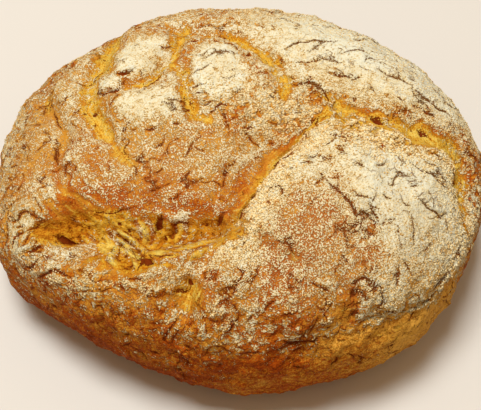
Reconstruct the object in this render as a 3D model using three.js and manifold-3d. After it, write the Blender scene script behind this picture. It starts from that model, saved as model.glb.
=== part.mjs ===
// A rustic spelt loaf, baked with the seam of the dough upwards so that its folds open in the oven.
// Units are millimetres, +Z is up, and the origin is the middle of the base. The front faces -Y.
import * as THREE from "three";
import { mergeVertices } from "three/addons/utils/BufferGeometryUtils.js";
import Module from "manifold-3d";

const wasm = await Module();
wasm.setup();
const { clamp, degToRad, smoothstep } = THREE.MathUtils;

// Driving dimensions: a squashed ball of dough, widest at the girth and sliced flat where it sits.
const GIRTH_HEIGHT = 38;
const CROWN_ABOVE_GIRTH = 54;
const FOOT_BELOW_GIRTH = 64;
const SQUARENESS = 2.3;

// Radius of the girth at sixteen equal bearings, from +X towards +Y.
const GIRTH_RADII = [127, 124, 117, 114, 112, 116, 118, 124, 125, 127, 112, 108, 112, 115, 123, 124];

// Relief is laid out on the crust map: millimetres along the crust from the crown, X right and Y back.
// It fades out between these two angles from the crown, below the girth.
const RELIEF_FULL_TO = degToRad(96);
const RELIEF_NONE_FROM = degToRad(118);

// A fold runs along its path with the raised side on its left. Depth is at the path, and raisedSide and
// sunkenSide are how far its two walls reach. Lip is the swell of the raised edge, lipReach from the path.
// The ends fade out over the share of the length that fade gives.
const FOLDS = [
  // The flap of dough on the right, folded over towards the middle and down the front.
  {
    path: [[46, 9], [33, -2], [20, -21], [6, -44], [-4, -61]],
    depth: 15, raisedSide: 6, sunkenSide: 20, lip: 4, lipReach: 13, fade: 0.25,
  },
  // The same flap's edge below the tear, a cleft down the front.
  {
    path: [[-4, -60], [-11, -68], [-18, -79], [-24, -92], [-26, -104]],
    depth: 7, raisedSide: 7, sunkenSide: 9, lip: 2, lipReach: 12, fade: 0.3,
  },
  // The tear along the front left, where the crust has opened and the crumb shows.
  {
    path: [[0, -58], [-20, -59], [-40, -61], [-60, -61], [-78, -56], [-100, -51]],
    depth: 14, raisedSide: 9, sunkenSide: 15, lip: 4, lipReach: 15, fade: 0.16,
  },
  // The split round the right shoulder, between the flap and the back of the loaf.
  {
    path: [[42, 14], [58, 16], [74, 9], [92, 7], [110, 3], [119, -10], [119, -30], [122, -50]],
    depth: 5, raisedSide: 8, sunkenSide: 8, lip: 1.5, lipReach: 15, fade: 0.2,
  },
  // The split down the left, wide at the back and closing towards the front.
  {
    path: [[-66, 104], [-71, 76], [-73, 52], [-77, 34], [-74, 16], [-64, -3], [-57, -16]],
    depth: 6, raisedSide: 8, sunkenSide: 8, lip: 1.5, lipReach: 14, fade: 0.2,
  },
  // The left rim, a narrow split that turns into a fold line running in under the tear.
  {
    path: [[-105, 50], [-103, 34], [-97, 22], [-88, 2], [-90, -14], [-86, -31], [-74, -42]],
    depth: 4, raisedSide: 6, sunkenSide: 6, lip: 1, lipReach: 10, fade: 0.2,
  },
  // The splits between the floury plates at the back, from left to right.
  {
    path: [[-28, 76], [-31, 60], [-35, 47], [-44, 32], [-56, 27], [-70, 27]],
    depth: 4.5, raisedSide: 6, sunkenSide: 6, lip: 1, lipReach: 10, fade: 0.15,
  },
  {
    path: [[-34, 44], [-27, 30], [-22, 14], [-16, 0]],
    depth: 3, raisedSide: 6, sunkenSide: 6, lip: 1, lipReach: 10, fade: 0.25,
  },
  {
    path: [[-44, 78], [-28, 73], [-10, 68], [4, 61], [16, 46], [24, 32], [24, 19]],
    depth: 5, raisedSide: 7, sunkenSide: 7, lip: 1, lipReach: 12, fade: 0.15,
  },
  // The lip low on the front right, where the floury skin ends over the bare side.
  {
    path: [[4, -106], [28, -112], [46, -104], [66, -99], [88, -94], [106, -76], [116, -60]],
    depth: 3, raisedSide: 6, sunkenSide: 9, lip: 2, lipReach: 14, fade: 0.2,
  },
];

// Broad swells and dips of the dough: centre, reach along and across, turn in degrees, and rise.
const SWELLS = [
  { centre: [50, -52], reach: [58, 42], turn: 40, rise: 8 },
  { centre: [66, 50], reach: [60, 30], turn: -28, rise: 4 },
  { centre: [-22, -30], reach: [44, 26], turn: 8, rise: -6 },
  { centre: [-62, -88], reach: [58, 22], turn: -18, rise: 4 },
  { centre: [-12, 44], reach: [16, 22], turn: 0, rise: 2 },
  { centre: [-50, 58], reach: [15, 22], turn: 0, rise: 2 },
  { centre: [-42, 16], reach: [20, 16], turn: 0, rise: 2 },
];

// Uneven dough: crossed ripples, broad ones and the crags of the crust.
const RIPPLES = [
  { rise: 1.0, length: 46 },
  { rise: 0.4, length: 17 },
];

// Fineness of the facets, crowded a little towards the crown and gathered along the deep folds, where
// those nearest a path lie on it. The block slices the base flat.
const FACET_DETAIL = 24;
const CROWN_CROWDING = 1.15;
const DEEP_FOLD = 4;
const GATHER_REACH = 14;
const GATHER_SHARE = 0.5;
const ON_PATH_REACH = 0.7;
const PATH_SAMPLES = 40;
const SLICE_BLOCK = 400;

const CRUST_COLOUR = 0xc99a52;

// Radius of the girth at a bearing, a smooth closed curve through the sixteen radii.
function girthRadius(bearing) {
  const count = GIRTH_RADII.length;
  const place = (bearing / (2 * Math.PI) + 1) * count;
  const first = Math.floor(place);
  const t = place - first;
  const [a, b, c, d] = [-1, 0, 1, 2].map((step) => GIRTH_RADII[(first + step) % count]);
  return b + 0.5 * t * (c - a + t * (2 * a - 5 * b + 4 * c - d + t * (3 * b - a - 3 * c + d)));
}

// Side view of the ball: share of the girth radius, and height, at an angle down from the crown.
function profile(angle) {
  const power = 2 / SQUARENESS;
  const level = Math.cos(angle);
  const half = level > 0 ? CROWN_ABOVE_GIRTH : FOOT_BELOW_GIRTH;
  const height = GIRTH_HEIGHT + half * Math.sign(level) * Math.abs(level) ** power;
  return [Math.sin(angle) ** power, height];
}

// Length along the crust from the crown down to an angle, for the mean radius, as a running sum.
const MEAN_RADIUS = GIRTH_RADII.reduce((sum, radius) => sum + radius) / GIRTH_RADII.length;
const ARC_STEPS = 720;
const arcTo = [0];
for (let step = 1; step <= ARC_STEPS; step++) {
  const [share0, height0] = profile((Math.PI * (step - 1)) / ARC_STEPS);
  const [share1, height1] = profile((Math.PI * step) / ARC_STEPS);
  arcTo.push(arcTo[step - 1] + Math.hypot((share1 - share0) * MEAN_RADIUS, height1 - height0));
}
function arcLength(angle) {
  const place = clamp((angle / Math.PI) * ARC_STEPS, 0, ARC_STEPS - 1e-6);
  const step = Math.floor(place);
  return arcTo[step] + (place - step) * (arcTo[step + 1] - arcTo[step]);
}
function angleAt(arc) {
  const next = arcTo.findIndex((length) => length > arc);
  if (next < 1) return Math.PI;
  return (Math.PI * (next - 1 + (arc - arcTo[next - 1]) / (arcTo[next] - arcTo[next - 1]))) / ARC_STEPS;
}

// Between the crust map and a bearing with an angle down from the crown.
function toMap(bearing, angle) {
  const along = (arcLength(angle) * girthRadius(bearing)) / MEAN_RADIUS;
  return new THREE.Vector2(along * Math.cos(bearing), along * Math.sin(bearing));
}
function fromMap(point) {
  const bearing = Math.atan2(point.y, point.x);
  return { bearing, angle: angleAt((point.length() * MEAN_RADIUS) / girthRadius(bearing)) };
}

// Each fold's path as a smooth curve, sampled once.
for (const fold of FOLDS) {
  const curve = new THREE.SplineCurve(fold.path.map(([x, y]) => new THREE.Vector2(x, y)));
  fold.samples = curve.getPoints(PATH_SAMPLES);
}

// Where a point of the crust map lies by a fold: the nearest place on the path, the distance to it, the
// side, and how much of the fold is left there by its faded ends.
function besideFold(fold, point) {
  const found = { away: Infinity };
  for (let step = 0; step < PATH_SAMPLES; step++) {
    const start = fold.samples[step];
    const span = fold.samples[step + 1].clone().sub(start);
    const offset = point.clone().sub(start);
    const t = clamp(offset.dot(span) / span.lengthSq(), 0, 1);
    const away = offset.addScaledVector(span, -t).length();
    if (away < found.away) {
      found.away = away;
      found.offset = offset;
      found.onRaisedSide = span.cross(offset) > 0;
      found.share = (step + t) / PATH_SAMPLES;
    }
  }
  found.ends = smoothstep(found.share, 0, fold.fade) * smoothstep(1 - found.share, 0, fold.fade);
  return found;
}

// A point of the crust map drawn towards the deep folds, so that the facets follow their edges.
function gathered(point) {
  for (const fold of FOLDS) {
    if (fold.depth < DEEP_FOLD) continue;
    const { away, offset, ends } = besideFold(fold, point);
    const pull = (1 - GATHER_SHARE) * Math.exp(-((away / GATHER_REACH) ** 2));
    const left = away * (1 - pull);
    point.addScaledVector(offset, left < ON_PATH_REACH ? -ends : -ends * pull);
  }
  return point;
}

// Depth and swell of one fold at a point of the crust map: walls that fall off as a bell curve, steeper
// on the raised side, and a lip that swells behind the raised edge.
function foldRelief(fold, point) {
  const { away, onRaisedSide, ends } = besideFold(fold, point);
  const reach = onRaisedSide ? fold.raisedSide : fold.sunkenSide;
  const depth = ends * fold.depth * Math.exp(-((away / reach) ** 2));
  const behind = away / fold.lipReach;
  return { depth, swell: onRaisedSide ? ends * fold.lip * behind * Math.exp(1 - behind) : 0 };
}

// Rise of one broad swell at a point of the crust map.
function swellRelief(swell, point) {
  const turned = point
    .clone()
    .sub(new THREE.Vector2(...swell.centre))
    .rotateAround(new THREE.Vector2(), -degToRad(swell.turn));
  return swell.rise * Math.exp(-((turned.x / swell.reach[0]) ** 2) - (turned.y / swell.reach[1]) ** 2);
}

// Two crossed waves, at a slant to each other.
function rippleRelief(ripple, point) {
  const wave = (2 * Math.PI) / ripple.length;
  return ripple.rise * Math.sin(wave * (point.x + 0.4 * point.y)) * Math.sin(wave * (point.y - 0.3 * point.x));
}

// How far the crust stands above the plain ball: all swells add up, and the deepest fold wins.
function relief(point) {
  let height = 0;
  for (const ripple of RIPPLES) height += rippleRelief(ripple, point);
  for (const swell of SWELLS) height += swellRelief(swell, point);
  let deepest = 0;
  for (const fold of FOLDS) {
    const { depth, swell } = foldRelief(fold, point);
    deepest = Math.max(deepest, depth);
    height += swell;
  }
  return height - deepest;
}

// A point of the crust from a direction on the unit ball: it stands out square to the plain ball's side.
function crustPoint(direction) {
  const fromCrown = Math.acos(clamp(direction.z, -1, 1));
  const crowded = 2 * Math.asin(Math.sin(fromCrown / 2) ** CROWN_CROWDING);
  const place = gathered(toMap(Math.atan2(direction.y, direction.x), crowded));
  const { bearing, angle } = fromMap(place);
  const stand = relief(place) * (1 - smoothstep(angle, RELIEF_FULL_TO, RELIEF_NONE_FROM));

  const radius = girthRadius(bearing);
  const [share, height] = profile(angle);
  const step = 0.01;
  const [shareIn, heightIn] = profile(Math.max(angle - step, 0));
  const [shareOut, heightOut] = profile(Math.min(angle + step, Math.PI));
  const slope = new THREE.Vector2((shareOut - shareIn) * radius, heightOut - heightIn).normalize();
  const out = share * radius - stand * slope.y;
  return new THREE.Vector3(out * Math.cos(bearing), out * Math.sin(bearing), height + stand * slope.x);
}

// A three.js geometry with only positions, its shared corners merged.
function merged(geometry) {
  geometry.deleteAttribute("normal");
  geometry.deleteAttribute("uv");
  return mergeVertices(geometry, 1e-4);
}

// A closed geometry as a manifold solid, and back.
function toSolid(geometry) {
  const vertProperties = new Float32Array(geometry.attributes.position.array);
  const triVerts = new Uint32Array(geometry.index.array);
  return new wasm.Manifold(new wasm.Mesh({ numProp: 3, vertProperties, triVerts }));
}
function toGeometry(solid) {
  const { vertProperties, triVerts } = solid.getMesh();
  const geometry = new THREE.BufferGeometry();
  geometry.setAttribute("position", new THREE.BufferAttribute(vertProperties, 3));
  geometry.setIndex(new THREE.BufferAttribute(triVerts, 1));
  geometry.computeVertexNormals();
  return geometry;
}

// The ball of dough with its folds, sliced flat at the base and centred on its own base.
function loafGeometry() {
  const ball = merged(new THREE.IcosahedronGeometry(1, FACET_DETAIL));
  const position = ball.attributes.position;
  for (let index = 0; index < position.count; index++) {
    const direction = new THREE.Vector3().fromBufferAttribute(position, index).normalize();
    const crust = crustPoint(direction);
    position.setXYZ(index, crust.x, crust.y, crust.z);
  }
  const block = merged(new THREE.BoxGeometry(SLICE_BLOCK, SLICE_BLOCK, SLICE_BLOCK));
  block.translate(0, 0, -SLICE_BLOCK / 2);
  const geometry = toGeometry(toSolid(ball).subtract(toSolid(block)));

  geometry.computeBoundingBox();
  const middle = geometry.boundingBox.getCenter(new THREE.Vector3());
  geometry.translate(-middle.x, -middle.y, 0);
  return geometry;
}

const crust = new THREE.MeshStandardMaterial({ color: CRUST_COLOUR, roughness: 0.85, metalness: 0 });
const loaf = new THREE.Mesh(loafGeometry(), crust);
loaf.name = "loaf";

const group = new THREE.Group();
group.add(loaf);

export default group;
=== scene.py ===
# A rustic spelt loaf on a plain pale floor, seen from above the table's front edge.
import math

import bpy
import numpy as np
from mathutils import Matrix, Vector


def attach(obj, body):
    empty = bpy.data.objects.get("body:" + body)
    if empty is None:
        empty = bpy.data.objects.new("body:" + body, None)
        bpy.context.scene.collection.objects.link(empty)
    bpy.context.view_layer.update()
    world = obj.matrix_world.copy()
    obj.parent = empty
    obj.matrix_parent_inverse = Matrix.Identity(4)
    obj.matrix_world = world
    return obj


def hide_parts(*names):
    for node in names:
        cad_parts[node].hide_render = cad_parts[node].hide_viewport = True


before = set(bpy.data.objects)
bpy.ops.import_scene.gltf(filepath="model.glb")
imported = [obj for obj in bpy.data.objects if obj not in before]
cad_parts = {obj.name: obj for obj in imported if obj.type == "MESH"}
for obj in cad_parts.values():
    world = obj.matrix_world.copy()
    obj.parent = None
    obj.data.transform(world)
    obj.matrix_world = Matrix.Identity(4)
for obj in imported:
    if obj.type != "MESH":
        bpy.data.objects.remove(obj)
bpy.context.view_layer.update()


# The loaf is one ball of spelt dough, folded over itself and baked free-standing with the seam upwards.
# In the oven its folds opened: a thick flap lies over from the right, a long tear along the front shows
# the crumb, and the floury skin split into plates with golden seams between them. Sizes are in mm.
MM = 0.001
GIRTH_HEIGHT = 38
CROWN_ABOVE_GIRTH = 54
FOOT_BELOW_GIRTH = 64
SQUARENESS = 2.3
GIRTH_RADII = np.array(
    [127, 124, 117, 114, 112, 116, 118, 124, 125, 127, 112, 108, 112, 115, 123, 124], float)
MEAN_RADIUS = GIRTH_RADII.mean()


def cubic(a, b, c, d, t):
    """A cubic from b to c as t goes from 0 to 1, its slopes set by the neighbours a and d."""
    return b + 0.5 * t * (c - a + t * (2 * a - 5 * b + 4 * c - d + t * (3 * b - a - 3 * c + d)))


def girth_radius(bearing):
    """Radius at the girth: a closed smooth curve through the sixteen radii, a cubic between each two."""
    station = (bearing / (2 * np.pi)) % 1 * len(GIRTH_RADII)
    first = np.floor(station).astype(int)
    around = (GIRTH_RADII[(first + step) % len(GIRTH_RADII)] for step in (-1, 0, 1, 2))
    return cubic(*around, station - first)


def side_profile(angle):
    """Share of the girth radius, and height, at an angle down from the crown.

    The profile is a squarish ellipse, taller below the girth than above it.
    """
    power = 2 / SQUARENESS
    level = np.cos(angle)
    half = np.where(level > 0, CROWN_ABOVE_GIRTH, FOOT_BELOW_GIRTH)
    height = GIRTH_HEIGHT + half * np.sign(level) * np.abs(level) ** power
    return np.abs(np.sin(angle)) ** power, height


PROFILE_STEPS = 720
ANGLES = np.linspace(0, np.pi, PROFILE_STEPS + 1)
SHARES, HEIGHTS = side_profile(ANGLES)
ARCS = np.concatenate([[0], np.cumsum(np.hypot(np.diff(SHARES) * MEAN_RADIUS, np.diff(HEIGHTS)))])
FOOT_ARC = np.interp(0, -HEIGHTS, ARCS)


def plain_ball(place):
    """Point on the plain ball, the way out of it and the angle down from the crown, for a place on the map.

    The crust map is in mm along the crust from the crown, X right and Y back. Its bearing is the ball's, and
    its distance is the arc down from the crown, longer or shorter with the girth radius at that bearing.
    """
    bearing = np.arctan2(place[:, 1], place[:, 0])
    radius = girth_radius(bearing)
    angle = np.interp(np.hypot(place[:, 0], place[:, 1]) * MEAN_RADIUS / radius, ARCS, ANGLES)
    share, height = side_profile(angle)
    step = 0.01
    share_in, height_in = side_profile(np.maximum(angle - step, 0))
    share_out, height_out = side_profile(np.minimum(angle + step, np.pi))
    slope = np.stack([(share_out - share_in) * radius, height_out - height_in], 1)
    slope /= np.hypot(slope[:, 0], slope[:, 1])[:, None]
    around = np.stack([np.cos(bearing), np.sin(bearing)], 1)
    point = np.column_stack([around * (share * radius)[:, None], height])
    out = np.column_stack([around * -slope[:, 1:], slope[:, 0]])
    return point, out, angle


def ramp(value, low, high):
    """Rises from 0 at low to 1 at high, level at both ends."""
    t = np.clip((value - low) / (high - low), 0, 1)
    return t * t * (3 - 2 * t)


def bell(value, reach):
    """A bell curve: 1 at 0, and 0.37 at reach."""
    return np.exp(-((value / reach) ** 2))


# Smooth noise for all uneven detail, drawn once from a fixed seed.
draw = np.random.default_rng(11)
CORNERS = draw.permutation(256)
LEANS = draw.normal(size=(256, 3))
LEANS /= np.linalg.norm(LEANS, axis=1)[:, None]
SEED_STEP = 37.7
NOISE_HEIGHT = 1.7
OCTAVES = 3


def noise(points, length, seed):
    """Noise from about -1 to 1 with lumps of the given length.

    Each corner of a cubic lattice leans a random way. A point takes how far it lies along the leans of its
    eight corners, blended by a smooth fade between them.
    """
    lattice = points / length + SEED_STEP * seed
    cell = np.floor(lattice).astype(int)
    t = lattice - cell
    fade = t ** 3 * (t * (6 * t - 15) + 10)
    total = 0
    for corner in np.ndindex(2, 2, 2):
        x, y, z = ((cell + corner) & 255).T
        lean = LEANS[CORNERS[(CORNERS[(CORNERS[x] + y) & 255] + z) & 255]]
        weight = np.prod(np.where(corner, fade, 1 - fade), axis=1)
        total = total + weight * (lean * (t - corner)).sum(1)
    return NOISE_HEIGHT * total


def fractal(points, length, seed):
    """Noise on noise: each octave has half the length and half the height of the one before."""
    return sum(noise(points, length / 2 ** k, seed + k) / 2 ** k for k in range(OCTAVES))


def stretched(place, turn, along, across):
    """Map places turned so that X runs at the given angle, and squeezed.

    Noise on them runs in that direction.
    """
    c, s = math.cos(math.radians(turn)), math.sin(math.radians(turn))
    x = place[:, 0] * c + place[:, 1] * s
    y = place[:, 1] * c - place[:, 0] * s
    return np.column_stack([x / along, y / across, np.zeros(len(x))])


PATH_STEPS = 40


def smooth_path(path):
    """A smooth curve through the points of a path: a cubic between each two."""
    path = np.array(path, float)
    padded = np.vstack([path[:1], path, path[-1:]])
    station = np.linspace(0, len(path) - 1, PATH_STEPS + 1)
    first = np.minimum(np.floor(station).astype(int), len(path) - 2)
    return cubic(*(padded[first + step] for step in range(4)), (station - first)[:, None])


def beside(path, place):
    """Signed distance from a path, positive on its left, the share of it passed, and the way off it."""
    curve = smooth_path(path)
    distance = np.full(len(place), np.inf)
    signed = np.zeros(len(place))
    share = np.zeros(len(place))
    away = np.zeros_like(place)
    for step, (start, end) in enumerate(zip(curve[:-1], curve[1:])):
        span = end - start
        offset = place - start
        t = np.clip(offset @ span / (span @ span), 0, 1)
        offset = offset - t[:, None] * span
        length = np.hypot(offset[:, 0], offset[:, 1])
        nearer = length < distance
        side = np.sign(span[0] * offset[:, 1] - span[1] * offset[:, 0])
        distance = np.where(nearer, length, distance)
        signed = np.where(nearer, side * length, signed)
        share = np.where(nearer, (step + t) / (len(curve) - 1), share)
        away = np.where(nearer[:, None], offset / np.maximum(length, 1e-6)[:, None], away)
    return signed, share, away


def faded_ends(share, first, last):
    """Rises from 0 to 1 over the first share of a path, and falls back to 0 over the last."""
    return ramp(share, 0, first) * ramp(1 - share, 0, last)


def spread(share, values):
    """Values at even steps along a path, joined by straight lines and read off at each share of it."""
    return np.interp(share, np.linspace(0, 1, len(values)), values)


# The crust as a grid: a square of cells laid over the round crust map, ring by ring, down to the foot, where
# the rings lie further apart.
CELLS = 304
FOOT_SPREAD = 0.15
grid_x, grid_y = np.meshgrid(np.linspace(-1, 1, CELLS + 1), np.linspace(-1, 1, CELLS + 1))
ring = np.maximum(np.abs(grid_x), np.abs(grid_y))
sideways = np.abs(grid_x) >= np.abs(grid_y)
safe_x = np.where(grid_x == 0, 1, grid_x)
safe_y = np.where(grid_y == 0, 1, grid_y)
bearing = np.where(
    sideways,
    np.pi / 4 * grid_y / safe_x + np.where(grid_x < 0, np.pi, 0),
    np.pi / 2 - np.pi / 4 * grid_x / safe_y + np.where(grid_y < 0, np.pi, 0),
).ravel()
arc = ((1 - FOOT_SPREAD) * ring + FOOT_SPREAD * ring ** 6).ravel()
arc *= FOOT_ARC * girth_radius(bearing) / MEAN_RADIUS
place = np.column_stack([arc * np.cos(bearing), arc * np.sin(bearing)])


def patch(centre, reach, turn, here=slice(None)):
    """A soft oval on the map, at all places or some: a bell curve, 1 at its centre and 0.37 at its reach."""
    oval = stretched(place[here] - centre, turn, *reach)
    return np.exp(-oval[:, 0] ** 2 - oval[:, 1] ** 2)


def patches(ovals):
    """The sum of soft ovals, each with its centre, reach, turn and height."""
    return sum(height * patch(centre, reach, turn) for centre, reach, turn, height in ovals)


# The cells are drawn in closer over the tear, the flap and the plates, as under a lens: centre, reach, turn
# and pull.
LENSES = [
    ((-42, -58), (64, 30), -4, 0.45), ((64, -28), (52, 46), 0, 0.3), ((-30, 38), (44, 36), 0, 0.2),
]
for centre, reach, turn, pull in LENSES:
    place = place - (place - centre) * (pull * patch(centre, reach, turn))[:, None]
ball, out, angle = plain_ball(place)
map_x, map_y = place.T

# The folds and splits. Each runs along its path with the raised side on its left: depth at the path, how far
# the walls reach on the raised and the sunken side, the swell of the raised lip, and the share that fades.
# Gold is how wide the bare split is on each side along the path, from its start to its end.
FOLDS = {
    "flap": dict(
        path=[(46, 9), (32, -3), (18, -21), (5, -44), (-4, -61)],
        depth=14, raised=11, sunken=20, lip=5, lip_reach=17, fade=0.25, gold=(2, 5, 6, 6, 7)),
    "cleft": dict(
        path=[(-4, -60), (-11, -68), (-18, -79), (-24, -92), (-26, -104)],
        depth=7, raised=7, sunken=9, lip=2, lip_reach=12, fade=0.3, gold=(2, 1, 0, 0, 0)),
    "tear": dict(
        path=[(0, -58), (-20, -59), (-40, -61), (-60, -61), (-78, -56), (-100, -51)],
        depth=14, raised=9, sunken=15, lip=4, lip_reach=15, fade=0.16, gold=(0, 0)),
    "shoulder": dict(
        path=[(40, 17), (56, 12), (74, 7), (92, 5), (109, 1), (118, -11), (119, -30), (122, -50)],
        depth=5, raised=8, sunken=8, lip=1.5, lip_reach=15, fade=0.2,
        gold=(1.5, 2, 2.5, 4.5, 5.5, 4, 3.5, 1.5)),
    "left split": dict(
        path=[(-66, 104), (-71, 76), (-74, 54), (-78, 36), (-74, 16), (-63, -4), (-51, -21)],
        depth=6, raised=8, sunken=8, lip=1.5, lip_reach=14, fade=0.2, gold=(0, 6, 6, 4.5, 4.5, 3, 1.5)),
    "left rim": dict(
        path=[(-105, 50), (-103, 34), (-97, 22), (-88, 2), (-90, -14), (-86, -31), (-74, -42)],
        depth=4, raised=6, sunken=6, lip=1, lip_reach=10, fade=0.2, gold=(0, 1, 0.5, 0.9, 0.3, 0.8, 0)),
    "plate split left": dict(
        path=[(-28, 76), (-31, 60), (-35, 47), (-44, 32), (-56, 27), (-70, 27)],
        depth=4.5, raised=6, sunken=6, lip=1, lip_reach=10, fade=0.15, gold=(2, 3, 3.5, 2, 1, 0)),
    "plate split middle": dict(
        path=[(-34, 44), (-27, 30), (-24, 18), (-20, 8), (-14, 2)],
        depth=3, raised=6, sunken=6, lip=1, lip_reach=10, fade=0.25, gold=(1.5, 2.5, 3, 4, 1)),
    "plate split right": dict(
        path=[(-44, 78), (-28, 73), (-10, 68), (4, 61), (16, 46), (24, 32), (24, 19)],
        depth=5, raised=7, sunken=7, lip=1, lip_reach=12, fade=0.15, gold=(0, 1.5, 2, 3, 3.5, 3, 1)),
    "front lip": dict(
        path=[(-6, -114), (14, -117), (31, -114), (43, -106), (57, -101), (72, -97), (88, -93),
              (101, -85), (108, -70), (113, -60)],
        depth=2.5, raised=6, sunken=9, lip=1.2, lip_reach=14, fade=0.25, gold=(0, 0)),
}

# Broad swells and dips of the dough: centre, reach along and across, turn in degrees, and rise.
SWELLS = [
    ((50, -52), (58, 42), 40, 8), ((66, 50), (60, 30), -28, 4), ((-22, -30), (44, 26), 8, -6),
    ((-62, -88), (58, 22), -18, 4), ((-10, 36), (14, 20), 0, 2), ((-50, 50), (13, 18), 0, 2),
    ((-44, 12), (17, 13), 0, 2), ((46, -33), (15, 9), -40, -3.5), ((44, -62), (24, 15), -15, -2.5),
    ((-108, -38), (8, 6), 0, 2.5), ((-110, -57), (7, 7), 0, 3), ((-92, -69), (8, 4), -20, 1.5),
]

# Ripples all over it: height and length.
RIPPLES = [(1.0, 46), (0.4, 17)]

rise = patches(SWELLS)
for height, length in RIPPLES:
    wave = 2 * np.pi / length
    rise += height * np.sin(wave * (place @ (1, 0.4))) * np.sin(wave * (place @ (-0.3, 1)))

# Ragged edges: the folds are looked up at places that wander by a millimetre or two, finer lines at places
# that wander less.
WANDER = 1.8
LESS_WANDER = 0.7
WANDER_LENGTH = 11
wander = np.column_stack([fractal(ball, WANDER_LENGTH, 1), fractal(ball, WANDER_LENGTH, 5)])
ragged = place + WANDER * wander
less_ragged = place + LESS_WANDER * wander

# Wrinkles run along beside the folds, but not the cleft: length along and across, height, and seed.
WRINKLES = [(26, 4.5, 1, 3), (12, 2, 0.6, 4)]
WRINKLES_FROM_FOLD = 6
NO_SPLIT = -20.0
deepest = np.zeros(len(place))
split = np.full(len(place), NO_SPLIT)
wrinkles = np.zeros(len(place))
nearest = np.full(len(place), np.inf)
lie = np.zeros((len(place), 3))
near = {}
for name, fold in FOLDS.items():
    signed, share, away = beside(fold["path"], ragged)
    ends = faded_ends(share, fold["fade"], fold["fade"])
    near[name] = dict(side=signed, share=share, away=away, ends=ends)
    raised = signed > 0
    distance = np.abs(signed)
    sunk = ends * fold["depth"] * bell(distance, np.where(raised, fold["raised"], fold["sunken"]))
    deepest = np.maximum(deepest, sunk)
    behind = distance / fold["lip_reach"]
    rise += np.where(raised, ends * fold["lip"] * behind * np.exp(1 - behind), 0)

    # How far a place is inside the bare split, in mm. The flap itself is bare only at its very edge.
    width = spread(share, fold["gold"])
    inside = width - distance - 4 * (1 - ramp(width, 0, 1.2))
    if name == "flap":
        inside = np.where(raised, 0.5 - distance, inside)
    split = np.maximum(split, inside)

    # The place along and across the nearest fold, in mm, with a third number that differs from fold to fold.
    length = np.hypot(*np.diff(smooth_path(fold["path"]), axis=0).T).sum()
    fold_map = np.column_stack([share * length, signed, np.full(len(share), 9 * length)])
    furrows = sum(
        height * noise(fold_map / (along, across, 1), 1, seed) for along, across, height, seed in WRINKLES)
    furrows *= ends * bell(distance - WRINKLES_FROM_FOLD, 14) * (name != "cleft")
    closer = distance < nearest
    lie[closer] = fold_map[closer]
    wrinkles = np.where(closer, furrows, wrinkles)
    nearest = np.minimum(nearest, distance)
wrinkles *= ramp(fractal(ball, 34, 75), -0.3, 0.4)
split += 2.2 * fractal(ball, 8, 71) + 1.2 * wrinkles
relief = rise - deepest + 0.8 * wrinkles

# The tear's torn crumb: threads drawn out down its left, and lumps. Its ragged edges lie so far behind and
# in front of its path, from its right end to its left.
TEAR_BEHIND = (6, 10, 12, 14, 16, 12, 3)
TEAR_IN_FRONT = (5, 13, 16, 15, 9, 5, 3)
CREST_LEVEL = -1.2
tear = near["tear"]
behind_it = spread(tear["share"], TEAR_BEHIND)
before_it = spread(tear["share"], TEAR_IN_FRONT)
torn = np.minimum(tear["side"] + behind_it, before_it - tear["side"]) + 2.4 * fractal(ball, 7, 8)
crumb = ramp(torn, -1.5, 2.5)
threads = 1 - 2 * np.abs(noise(stretched(ragged, -38, 20, 4.2), 1, 21))
lumps = fractal(ball, 5.5, 23)
# The crest is the crumb's height and also paints its gold: painted light on crests, painted shade in hollows
# and the pocket.
pocket = patch((-10, -53), (13, 10), 0)
crest = threads * ramp(-map_x, 20, 60) + 0.6 * lumps * (1 - pocket) + CREST_LEVEL - 1.2 * pocket
crest -= 1.7 * ramp(-map_x, 66, 84)

# Strands of dough still joining its edges, darker along their flanks, with painted shade in the grooves
# beside
# them: path, half width, height, and the flour left along the top. The thin ones are cut free along one
# flank.
STRANDS = [
    ([(-6, -64), (-16, -62), (-22, -65), (-26, -69), (-31, -70), (-38, -68), (-44, -67)], 2.2, 1.6, 0),
    ([(-7, -66), (-13, -68), (-18, -71), (-25, -73), (-32, -74), (-39, -74)], 2.2, 1.5, 0.05),
    ([(-67, -51), (-61, -57), (-58, -60), (-51, -67), (-45, -71), (-38, -75)], 1.0, 2.8, 0.16),
    ([(-62, -52), (-55, -57), (-51, -61), (-46, -66)], 1.0, 2.0, 0.1),
    ([(-64, -59), (-62, -64), (-60, -69), (-55, -75)], 1.0, 2.4, 0),
    ([(-64, -59), (-59, -63), (-53, -67), (-49, -71), (-45, -75)], 0.9, 2.0, 0),
    ([(-73, -53), (-70, -58), (-66, -65)], 4.0, 1.4, 0),
    ([(-49, -47), (-47, -53), (-48, -60)], 1.6, 1.6, 0),
    ([(-30, -46), (-29, -54), (-33, -60)], 1.8, 1.2, 0),
    ([(-84, -50), (-80, -56), (-74, -61)], 1.5, 1.5, 0),
]
THIN_STRAND = 1.2
darker_flanks = np.zeros(len(place))
strand_flour = np.zeros(len(place))
flanks = []
for path, half, height, floury in STRANDS:
    signed, share, _ = beside(path, less_ragged)
    ends = faded_ends(share, 0.2, 0.2)
    crest += ends * (height * bell(signed, half) - bell(np.abs(signed) - 2.1 * half, 0.6 * half))
    darker_flanks = np.maximum(darker_flanks, ends * bell(np.abs(signed) - 1.6 * half, 0.7 * half))
    strand_flour += floury * ends * bell(signed, 0.8 * half) * (1.8 - 1.6 * share)
    if half < THIN_STRAND:
        flanks.append((signed - 1.9 * half, 0.05 + 0.3 * lumps - 2 * (1 - ends)))
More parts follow.
